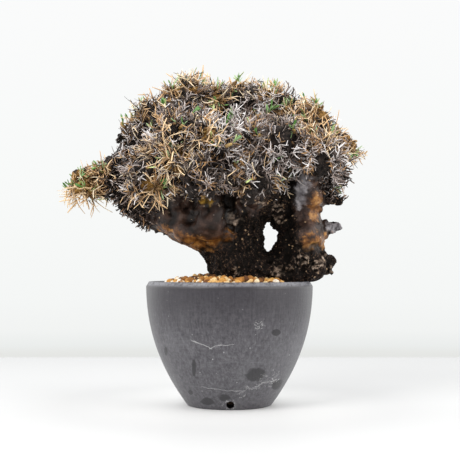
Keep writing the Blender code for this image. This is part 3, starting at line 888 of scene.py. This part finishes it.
def make_matted_wood(cores):
    """The dark wood under the stalks: the thickets' cores, grown together and covered in knuckles."""
    luck = random.Random(SEED + 3)
    shape = bmesh.new()
    heart_middle = above_rim(-0.002, 0, 0.086)
    for name, middle in cores.items():
        add_ball(shape, middle + shift_of(name), SMALL_CORES.get(name, CORE), 3)
    names = sorted(cores)
    for index, name in enumerate(names):
        for other in names[index + 1 :]:
            apart = (cores[name] - cores[other]).length
            if apart < 0.048:
                shift = shift_of(name) + shift_of(other)
                between = (cores[name] + cores[other] + shift) / 2
                inward = (heart_middle - between).normalized()
                add_ball(shape, between + inward * 0.003, CORE * (0.9 if apart < 0.04 else 0.7), 3)
    for name, middle in cores.items():
        size = SMALL_CORES.get(name, CORE)
        for _ in range(16):
            away = stray(luck, 1).normalized()
            add_ball(shape, middle + away * size * 0.95, luck.uniform(0.0016, 0.0038))
    heart = bmesh.new()
    bmesh.ops.create_icosphere(heart, subdivisions=4, radius=1.0)
    bmesh.ops.scale(heart, verts=heart.verts, vec=(0.056, 0.042, 0.032))
    bmesh.ops.translate(heart, verts=heart.verts, vec=heart_middle)
    mesh = mesh_of(heart, "heart")
    shape.from_mesh(mesh)
    bpy.data.meshes.remove(mesh)
    made = run_modifiers(
        shape,
        ("REMESH", {"mode": "VOXEL", "voxel_size": WOOD_GRAIN}),
        ("SMOOTH", {"factor": 0.5, "iterations": 3}),
    )
    points, normals = surface_of(made)
    lump = noisy(points, 0.008, 2.0, 2)
    crumb = noisy(points, 0.0032, 3.0, 2)
    swell_out(made, points, normals, 0.0026 * lump + 0.0017 * crumb)
    return finished("matted_wood", made, matted_finish(), "thorns")


def paint(mesh, name, values):
    layer = mesh.attributes.new(name, "FLOAT", "POINT")
    layer.data.foreach_set("value", values.astype(np.float32))


def paint_wood(wood, live):
    """Marks where the matted wood is fresh, round the live growth, and where it is worn silvery."""
    points = read(wood.data.vertices, "co", 3).astype(float)
    fresh, worn = np.zeros(len(points)), np.zeros(len(points))
    for spot, _, vigour in live:
        fresh = np.maximum(fresh, near(points, spot, 0.007 + 0.007 * vigour))
    for x, y, height, radius in WORN:
        worn = np.maximum(worn, near(points, above_rim(x, y, height), radius))
    paint(wood.data, "fresh", fresh)
    paint(wood.data, "worn", worn)


def push(shape, face, step, shrink):
    """Extrudes a face by a step, scales its end and returns it."""
    grown = bmesh.ops.extrude_discrete_faces(shape, faces=[face])["faces"][0]
    bmesh.ops.translate(shape, verts=grown.verts, vec=step)
    middle = grown.calc_center_median()
    bmesh.ops.scale(shape, verts=grown.verts, vec=shrink, space=Matrix.Translation(-middle))
    return grown


def pinch(shape, face, step, share):
    """Extrudes a long face by a step, with its end drawn in along its length, and returns it."""
    grown = bmesh.ops.extrude_discrete_faces(shape, faces=[face])["faces"][0]
    bmesh.ops.translate(shape, verts=grown.verts, vec=step)
    longest = max(grown.edges, key=lambda edge: edge.calc_length())
    along = (longest.verts[1].co - longest.verts[0].co).normalized()
    space = along.to_track_quat("Z", "Y").to_matrix().to_4x4().inverted()
    space @= Matrix.Translation(-grown.calc_center_median())
    bmesh.ops.scale(shape, verts=grown.verts, vec=(0.85, 0.85, share), space=space)
    return grown


def facing(shape, way):
    """The face that points most nearly that way."""
    return max(shape.faces, key=lambda face: face.normal.dot(way))


def even(share):
    return (share, share, share)


def level_way(turn):
    return Vector((math.cos(turn), math.sin(turn), 0))


def post(sides, foot, top, height):
    """A capped, tapering post that stands on the origin, and its top face."""
    shape = bmesh.new()
    bmesh.ops.create_cone(
        shape,
        cap_ends=True,
        segments=sides,
        radius1=foot,
        radius2=top,
        depth=height,
        matrix=Matrix.Translation((0, 0, height / 2)),
    )
    shape.normal_update()
    return shape, facing(shape, Vector((0, 0, 1)))


def stalk_shape(luck, length, girth, forks, kink, bend):
    """A dried flower stalk: a thin shaft in straight runs between kinks, which forks like an antler."""
    run = length / 3
    shape, tip = post(4, girth * 1.25, girth, run)
    turn = luck.uniform(0, math.tau)
    drift = level_way(turn) * bend
    joints = []
    for part in (1, 2):
        joints.append(tip.calc_center_median().copy())
        lean = Vector((luck.gauss(0, kink), luck.gauss(0, kink), 1)) + drift * part
        tip = push(shape, tip, lean.normalized() * run, even(0.88 if part == 1 else 0.62))
    for fork in range(forks):
        shape.normal_update()
        joint = joints[(fork + 1) % 2]
        turn += luck.uniform(1.6, 2.8)
        way = level_way(turn)
        sides = [face for face in shape.faces if (face.calc_center_median() - joint).length < run * 0.7]
        sides = [face for face in sides if abs(face.normal.z) < 0.75]
        if not sides:
            continue
        root = max(sides, key=lambda face: face.normal.dot(way))
        reach = (way * luck.uniform(0.7, 1.5) + Vector((0, 0, 1))).normalized() * run
        branch = pinch(shape, root, way * girth * 0.3, 0.22)
        branch = push(shape, branch, reach * luck.uniform(0.5, 0.9), even(0.85))
        aside = stray(luck, kink) * run
        push(shape, branch, reach * luck.uniform(0.5, 0.9) + aside * 0.7, even(0.6))
    bmesh.ops.recalc_face_normals(shape, faces=shape.faces)
    return with_map(shape, length)


def with_map(shape, length):
    """The mesh of a shape that stands along Z, with its map: a narrow strip across, and its height up."""
    layer = shape.loops.layers.uv.new("grain")
    for face in shape.faces:
        heights = [loop.vert.co.z / length for loop in face.loops]
        turned = abs(heights[0] - heights[1]) > abs(heights[1] - heights[2])
        for index, loop in enumerate(face.loops):
            right = index in ((2, 3) if turned else (1, 2))
            up = min(0.97, max(0.0, heights[index])) + (0.015 if index > 1 else 0.0)
            loop[layer].uv = (0.012 if right else 0.0, up)
    mesh = mesh_of(shape, "template")
    mesh.shade_smooth()
    mesh.uv_layers.new(name="OFBake")  # the same map again, for the export to bake through
    return mesh, read(mesh.uv_layers["grain"].uv, "vector", 2)


def scatter(kinds, placings):
    """One bmesh of many copies. A placing is the kind's number, its matrix and its tone from 0 to 1."""
    whole = bmesh.new()
    for kind, place, tone in placings:
        template, own_map = kinds[kind]
        copy = template.copy()
        copy.transform(place)
        moved = own_map + np.array([tone * 0.98, 0.0], np.float32)
        for layer in copy.uv_layers:
            layer.uv.foreach_set("vector", moved.ravel())
        whole.from_mesh(copy)
        bpy.data.meshes.remove(copy)
    return whole


def aimed(spot, way, roll, size):
    """A matrix that stands a copy at a spot, pointing that way."""
    turn = way.to_track_quat("Z", "Y").to_matrix().to_4x4()
    scale = Matrix.Diagonal((size, size, size, 1))
    return Matrix.Translation(spot) @ turn @ Matrix.Rotation(roll, 4, "Z") @ scale


def leaning(way, luck, least, most):
    """A direction that leans from a way by an angle between two limits, in radians."""
    side = way.orthogonal().normalized()
    side.rotate(Matrix.Rotation(luck.uniform(0, math.tau), 3, way))
    angle = luck.uniform(least, most)
    return (way * math.cos(angle) + side * math.sin(angle)).normalized()


def surface_spots(mesh, count, luck):
    """Random (spot, normal) pairs all over a mesh, with fewer underneath."""
    mesh.calc_loop_triangles()
    area = read(mesh.loop_triangles, "area", 1)
    normals = read(mesh.loop_triangles, "normal", 3)
    corners = np.empty(len(mesh.loop_triangles) * 3, np.int32)
    mesh.loop_triangles.foreach_get("vertices", corners)
    points = read(mesh.vertices, "co", 3)[corners.reshape(-1, 3)]
    weight = area * np.clip(1.0 + 0.9 * np.minimum(normals[:, 2] + 0.15, 0), 0.12, 1)
    ladder = np.cumsum(weight)
    found = []
    for _ in range(count):
        index = int(np.searchsorted(ladder, luck.random() * ladder[-1]))
        a, b = sorted((luck.random(), luck.random()))
        spot = points[index][0] * a + points[index][1] * (b - a) + points[index][2] * (1 - b)
        found.append((Vector(spot.tolist()), Vector(normals[index].tolist())))
    return found


# Each family of stalks: its length, its number of shapes and the seed of the first
FAMILIES = {
    "dead": (0.0112, 15, 10),
    "straw": (0.0135, 12, 50),
    "stub": (0.0042, 8, 120),
    "long": (0.0200, 6, 80),
    "arch": (0.0230, 10, 140),
}
# How many places are tried for each
STUB_SPOTS = 2600
TWIG_SPOTS = 5200
BUNCH_SPOTS = 2000
TUFT_SPOTS = 150
LEFT_END = -0.088  # the x of the left arm's paler end
STUB_TONES = ((0.02, 0.24), (0.02, 0.40), (0.68, 0.76))
# The tones of dried stalks: grey and silvery at first, and browns and straws from 0.7 on
DEAD_TONES = (
    (0.00, (0.008, 0.006, 0.005)),
    (0.16, (0.045, 0.030, 0.024)),
    (0.30, (0.190, 0.135, 0.110)),
    (0.42, (0.400, 0.335, 0.305)),
    (0.54, (0.640, 0.580, 0.555)),
    (0.66, (0.940, 0.910, 0.900)),
    (0.71, (0.160, 0.080, 0.036)),
    (0.81, (0.600, 0.350, 0.150)),
    (0.90, (0.920, 0.680, 0.400)),
    (1.00, (0.980, 0.880, 0.680)),
)
# Painted shade along each stalk: dark at its foot, full tone from three quarters of its length up.
STALK_FOOT_SHADE = ((0.0, (0.04, 0.03, 0.026)), (0.32, (0.50, 0.47, 0.45)), (0.75, (1.0, 1.0, 1.0)))


def stub_shape(luck, length):
    """The broken foot of a stalk: a short dark peg with a crooked end."""
    shape, tip = post(4, 0.00060, 0.00044, 0.0020)
    lean = Vector((luck.gauss(0, 0.35), luck.gauss(0, 0.35), 1)).normalized()
    push(shape, tip, lean * 0.0020, even(luck.uniform(0.5, 1.1)))
    return with_map(shape, length)


def arching_shape(luck, length, girth):
    """A long flower stalk that bends over in an arc, in six runs."""
    run = length / 6
    shape, tip = post(4, girth * 1.3, girth, run)
    axis = level_way(luck.uniform(0, math.tau))
    bend = luck.uniform(0.08, 0.36)
    way = Vector((0, 0, 1))
    for _ in range(5):
        turn = Matrix.Rotation(bend + luck.gauss(0, 0.10), 3, axis)
        way.rotate(turn)
        tip = push(shape, tip, way * run, even(0.90))
        bmesh.ops.rotate(shape, verts=tip.verts, cent=tip.calc_center_median(), matrix=turn)
    bmesh.ops.recalc_face_normals(shape, faces=shape.faces)
    return with_map(shape, length * 0.75)


def twiggy_spots(bark, luck):
    """(spot, normal) pairs on the stock where broken twigs cover it: on the left arm and the right trunk."""
    found = []
    for spot, normal in surface_spots(bark.data, TWIG_SPOTS, luck):
        left = -0.105 < spot.x < -0.046 and low_edge(spot.x) - 0.010 < spot.z
        right = spot.x > 0.060 and spot.z > RIM + 0.058
        above = spot.z > low_edge(spot.x) + 0.004
        if left or right or above:
            found.append((spot, normal))
    return found


def spots_on(wood, spots, side):
    """(spot, direction, vigour) of each (x, height, vigour), on the matted wood's front (-1) or back (1)."""
    surface = BVHTree.FromObject(wood, bpy.context.evaluated_depsgraph_get())
    found = []
    for x, height, vigour in spots:
        hit = surface.ray_cast(above_rim(x, side * 0.2, height), Vector((0, -side, 0)))
        if hit[0] is None:
            hit = surface.find_nearest(above_rim(x, side * 0.008, height))
        way = (hit[1] + Vector((0, 0, 0.45))).normalized()
        found.append((hit[0], way, vigour))
    return found


def on_front(spot, x, height):
    """How far a spot is from a place on the front, seen from the front."""
    return math.hypot(spot.x - x, spot.z - RIM - height)


def in_hollow(spot):
    return spot.y < 0 and any(on_front(spot, x, height) < radius for x, height, radius in HOLLOWS)


def family_shape(family, number, luck, length):
    """One of a family's shapes, with its map."""
    if family == "stub":
        return stub_shape(luck, length)
    if family == "arch":
        return arching_shape(luck, length, 0.00050)
    girth, forks, kink, bend = {
        "dead": (0.00034, 1 + number % 3, 0.24, 0.15),
        "straw": (0.00036, number % 3, 0.20, 0.35),
        "long": (0.00047, 1 + number % 2, 0.16, 0.65),
    }[family]
    return stalk_shape(luck, length, girth, forks, kink, bend)


def make_stalks(cores, live, wood, bark):
    """The thickets' dried stalks, in starry bunches all over the matted wood, a piece for each thicket."""
    luck = random.Random(SEED)
    kinds, families = [], {}
    for family, (length, count, seed) in FAMILIES.items():
        families[family] = (length, len(kinds), count)
        for number in range(count):
            kinds.append(family_shape(family, number, random.Random(seed + number), length))
    groups = {name: [] for name in cores}

    def plant(spot, way, family, tone, size):
        length, first, count = families[family]
        tip = spot + way * size * length
        if tip.z < low_edge(tip.x) - 0.003 and family == "dead":
            return
        if family == "stub" and tip.z < low_edge(tip.x) - 0.012:
            return
        if not within_crown(tip, luck.uniform(-0.003, 0.0035)):
            return
        home = min(cores, key=lambda name: (cores[name] - spot).length)
        kind = first + luck.randrange(count)
        groups[home].append((kind, aimed(spot, way, luck.uniform(0, math.tau), size), tone))

    for spot, normal in surface_spots(wood.data, STUB_SPOTS, luck) + twiggy_spots(bark, luck):
        for _ in range(luck.randrange(2, 5)):
            way = leaning(normal, luck, 0.2, 1.3)
            start = spot + stray(luck, 0.0018)
            tone = luck.choice([luck.uniform(*limits) for limits in STUB_TONES])
            if start.x < LEFT_END:
                tone = luck.uniform(0.74, 0.88)
            plant(start, way, "stub", tone, luck.uniform(0.6, 1.2))
    for spot, normal in surface_spots(wood.data, BUNCH_SPOTS, luck):
        gap = noise.noise(spot / 0.010 + Vector((3, 1, 4)))
        bare = -0.23 if spot.x > LEFT_END else -0.06
        if spot.z < low_edge(spot.x) or gap < bare or in_hollow(spot):
            continue
        close = min((spot - place).length / (0.4 + 0.6 * vigour) for place, _, vigour in live)
        patch = noise.noise(spot / 0.014) * 0.5 + noise.noise(spot / 0.034) * 0.4
        silver = max(0.0, 1 - (spot - above_rim(0.024, -0.05, 0.095)).length / 0.045)
        shade = max(0.0, max(1 - (spot - above_rim(*at)).length / radius for *at, radius in SHADED))
        straw_share = 0.70 if close < 0.008 else 0.22 if close < 0.015 else 0.04
        for x, height, radius, share in GOLDEN:
            off = on_front(spot, x, height) / radius
            if spot.y < 0 or x < -0.09:
                straw_share = max(straw_share, share * (1.0 - off * off))
        brown_share = 0.10 + 0.30 * noise.noise(spot / 0.02 + Vector((9, 2, 6)))
        middle = spot + normal * luck.uniform(-0.001, 0.003)
        lean = luck.uniform(0.9, 1.5)
        for _ in range(luck.randrange(5, 10)):
            way = leaning(normal, luck, 0.1, lean)
            start = middle + stray(luck, 0.0008)
            if luck.random() < straw_share:
                plant(start, way, "straw", luck.uniform(0.72, 1.0), luck.uniform(0.55, 0.95))
                continue
            tone = 0.31 + patch * 0.50 + silver * 0.16 - 0.30 * min(1.0, shade * 2)
            tone += luck.gauss(0, 0.23)
            tone = min(0.66, max(0.04, tone))
            if luck.random() < brown_share:
                tone = luck.uniform(0.70, 0.86)
            plant(start, way, "dead", tone, luck.uniform(0.65, 1.15))
    for spot, way, vigour in live:
        for _ in range(int(5 + 11 * vigour)):
            lean = leaning(way, luck, 0.2, 1.5)
            size = luck.uniform(0.8, 1.0 + 0.35 * vigour)
            plant(spot + lean * 0.001, lean, "straw", luck.uniform(0.78, 1.0), size)
        for _ in range(int(4 * vigour)):
            lean = leaning(way, luck, 0.7, 1.5)
            plant(spot, lean, "long", luck.uniform(0.84, 0.98), luck.uniform(0.75, 1.1))
    for spot, way, vigour in spots_on(wood, ARCHES_FRONT, -1) + spots_on(wood, ARCHES_BACK, 1):
        for _ in range(int(3 + 10 * vigour)):
            lean = leaning(way, luck, 0.4, 1.5)
            start = spot + lean * 0.002 + stray(luck, 0.0012)
            tone = luck.uniform(0.84, 0.99)
            plant(start, lean, "arch", tone, luck.uniform(0.5, 0.8 + 0.35 * vigour))
    finish = grain_finish("dried_stalk", DEAD_TONES, STALK_FOOT_SHADE, 0.55)
    for name, placings in groups.items():
        label = name.replace("thorns_", "stalks_")
        finished(label, scatter(kinds, placings), finish, "thorns", name)


# ---- Live tips ----
# A leaf's half width at each share of its length
LEAF_SHARES = (0.0, 0.3, 0.55, 0.78, 0.92, 1.0)
LEAF_WIDTHS = (0.07, 0.10, 0.17, 0.23, 0.18, 0.05)
TIP_TONES = ((0.0, (0.110, 0.055, 0.018)), (0.5, (0.250, 0.140, 0.045)), (1.0, (0.400, 0.270, 0.095)))
TIP_ENDS = ((0.0, (0.35, 0.28, 0.22)), (0.5, (0.9, 0.9, 0.9)), (1.0, (1.0, 1.0, 0.75)))
LEAF_TONES = (
    (0.0, (0.085, 0.230, 0.045)),
    (0.35, (0.180, 0.350, 0.100)),
    (0.7, (0.360, 0.480, 0.260)),
    (1.0, (0.480, 0.540, 0.190)),
)
LEAF_ENDS = (
    (0.0, (1.0, 0.85, 0.45)),
    (0.35, (1.0, 1.0, 1.0)),
    (0.9, (0.95, 1.0, 0.95)),
    (1.0, (0.75, 0.65, 0.60)),
)


def leaf_shape(cup):
    """A small, thick, spoon-shaped leaf that stands along Z."""
    shape = bmesh.new()
    bmesh.ops.create_grid(shape, x_segments=2, y_segments=6, size=0.5)
    for vertex in shape.verts:
        across, along = vertex.co.x, vertex.co.y + 0.5
        width = float(np.interp(along, LEAF_SHARES, LEAF_WIDTHS))
        hollow = cup * (abs(across) * 0.4 + along * along)
        vertex.co = Vector((across * width, hollow, along))
    bmesh.ops.solidify(shape, geom=shape.faces[:], thickness=0.055)
    bmesh.ops.recalc_face_normals(shape, faces=shape.faces)
    return with_map(shape, 1.0)


def tip_shape(luck):
    """A short fleshy tip, ringed with the scars of fallen leaves."""
    shape, tip = post(7, 0.27, 0.25, 0.24)
    for shrink in (0.84, 1.16, 0.82, 1.14, 0.78, 0.6):
        lean = Vector((luck.gauss(0, 0.03), luck.gauss(0, 0.03), 0.13))
        tip = push(shape, tip, lean, even(shrink))
    bmesh.ops.recalc_face_normals(shape, faces=shape.faces)
    return with_map(shape, 1.1)


def stray_tufts(wood):
    """More (spot, direction, vigour), for single leaf tufts all over the crown."""
    luck = random.Random(SEED + 4)
    found = []
    for spot, normal in surface_spots(wood.data, TUFT_SPOTS, luck):
        if spot.z > low_edge(spot.x) + 0.008:
            found.append((spot + normal * luck.uniform(0.001, 0.005), normal, 0.0))
    return found


def make_live_tips(live):
    """The fleshy tips and their small leaves, at each place of live growth."""
    luck = random.Random(SEED + 2)
    tips = [tip_shape(random.Random(k)) for k in range(5)]
    leaves = [leaf_shape(cup) for cup in (0.10, 0.22, 0.36)]
    tip_places, leaf_places = [], []
    for spot, way, vigour in live:
        for _ in range(int(1 + 5 * vigour)):
            lean = leaning(way, luck, 0.1, 1.0)
            foot = spot + stray(luck, 0.0020)
            height = luck.uniform(0.0032, 0.0052)
            kind = luck.randrange(len(tips))
            place = aimed(foot - lean * 0.001, lean, luck.uniform(0, 6), height)
            tip_places.append((kind, place, luck.random()))
            top = foot + lean * height * 0.9
            for _ in range(luck.choice((1, 1, 2, 3, 4))):
                up = (leaning(lean, luck, 0.1, 0.9) + Vector((0, 0, 0.5))).normalized()
                size = luck.uniform(0.0050, 0.0085)
                tone = luck.random()
                if not within_crown(top + up * size, luck.uniform(0.0, 0.004)):
                    continue
                kind = luck.randrange(len(leaves))
                leaf_places.append((kind, aimed(top + lean * 0.001, up, luck.uniform(0, 6), size), tone))
    flesh = grain_finish("fleshy_tip", TIP_TONES, TIP_ENDS, 0.6)
    green = grain_finish("othonna_leaf", LEAF_TONES, LEAF_ENDS, 0.45)
    finished("live_tips", scatter(tips, tip_places), flesh, "shoot")
    finished("small_leaves", scatter(leaves, leaf_places), green, "shoot", *SHOOTS)


# ---- Stage ----
def make_stage():
    """Camera, a pale table top with painted shade towards the back and painted light round the pot, and soft
    light.
    """
    scene = bpy.context.scene
    scene.view_settings.view_transform = "Standard"
    camera = linked("camera", bpy.data.cameras.new("camera"))
    camera.location = (0.0004, -0.710, 0.0976)
    camera.rotation_euler = (math.radians(92.23), 0, 0)
    camera.data.lens = 76.85
    camera.data.sensor_width = 36
    camera.data.clip_start = 0.01
    scene.camera = camera

    table = bmesh.new()
    bmesh.ops.create_grid(table, x_segments=1, y_segments=1, size=1.0)
    bmesh.ops.scale(table, verts=table.verts, vec=(3.0, 1.6, 1.0))
    bmesh.ops.translate(table, verts=table.verts, vec=(0, 0.37 - 1.6, 0))
    mesh = mesh_of(table, "table_top")
    finish, tree, shader = new_finish("white_board")
    # Painted shade: the board darkens towards the back.
    depth = add(tree, "SeparateXYZ", {0: object_coordinates(tree)}).outputs[1]
    depth = ranged(tree, depth, 0.0, 1.0, -0.4, 0.4)
    light, dark = (0.500, 0.505, 0.505), (0.412, 0.417, 0.417)
    board = ramp(tree, depth, (0.0, light), (0.5, light), (0.95, dark))
    # Painted light: the board is lighter round the pot's foot, where the pot's shade falls.
    away = add(tree, "VectorMath", {0: object_coordinates(tree)}, operation="LENGTH").outputs["Value"]
    board = mix(tree, fade(tree, away, 0.035, 0.130), colour((0.650, 0.655, 0.650)), board)
    show(tree, shader, board, 0.6)
    mesh.materials.append(finish)
    top = linked("table_top", mesh)

    world = bpy.data.worlds.new("bright_room")
    scene.world = world
    world.use_nodes = True
    tree = world.node_tree
    way = add(tree, "TexCoord").outputs["Generated"]
    split = add(tree, "SeparateXYZ", {0: way})
    rise = ranged(tree, split.outputs[2], 0.0, 1.0, -0.10, 0.30)
    backdrop = ramp(
        tree,
        rise,
        (0.000, (0.78, 0.79, 0.77)),
        (0.040, (0.79, 0.80, 0.78)),
        (0.058, (0.83, 0.85, 0.84)),
        (0.095, (0.885, 0.900, 0.890)),
        (0.170, (0.910, 0.925, 0.917)),
        (0.425, (0.935, 0.950, 0.942)),
        (0.910, (0.960, 0.965, 0.965)),
    )
    room = mix(tree, fade(tree, split.outputs[1], -0.7, 0.5), colour((0.48, 0.47, 0.48)), backdrop)
    tree.links.new(room, tree.nodes["Background"].inputs["Color"])
    aside = math_node(tree, "ABSOLUTE", split.outputs[0])
    beside = ranged(tree, aside, 1.0, 2.1, 0.35, 0.75)
    above = ranged(tree, split.outputs[2], 0.0, 1.4, 0.4, 0.9)
    strength = plus(tree, beside, above)
    tree.links.new(strength, tree.nodes["Background"].inputs["Strength"])

    lamps = (
        ("window", (-0.80, -0.85, 0.98), 0.65, 13.0, (1.0, 0.99, 0.975)),
        ("fill", (1.0, -0.6, 0.6), 0.9, 7.5, (1.0, 0.98, 0.95)),
    )
    for name, place, size, power, tone in lamps:
        lamp = bpy.data.lights.new(name, "AREA")
        lamp.size = size
        lamp.energy = power
        lamp.color = tone
        holder = linked(name, lamp)
        holder.location = place
        aim = Vector((0, 0, 0.12)) - Vector(place)
        holder.rotation_euler = aim.to_track_quat("-Z", "Y").to_euler()


def main():
    make_stage()
    make_pot()
    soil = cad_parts["potting_mix"].data.materials
    soil.clear()
    soil.append(crumbly_finish("potting_mix", 420.0, 5.0, *SOIL_TONES))
    make_grit()
    bark = make_bark()
    cores = {name: middle_of(name) for name in THICKETS}
    wood = make_matted_wood(cores)
    live = spots_on(wood, LIVE_FRONT, -1) + spots_on(wood, LIVE_BACK, 1)
    paint_wood(wood, live)
    make_stalks(cores, live, wood, bark)
    make_live_tips(live + stray_tufts(wood))


main()
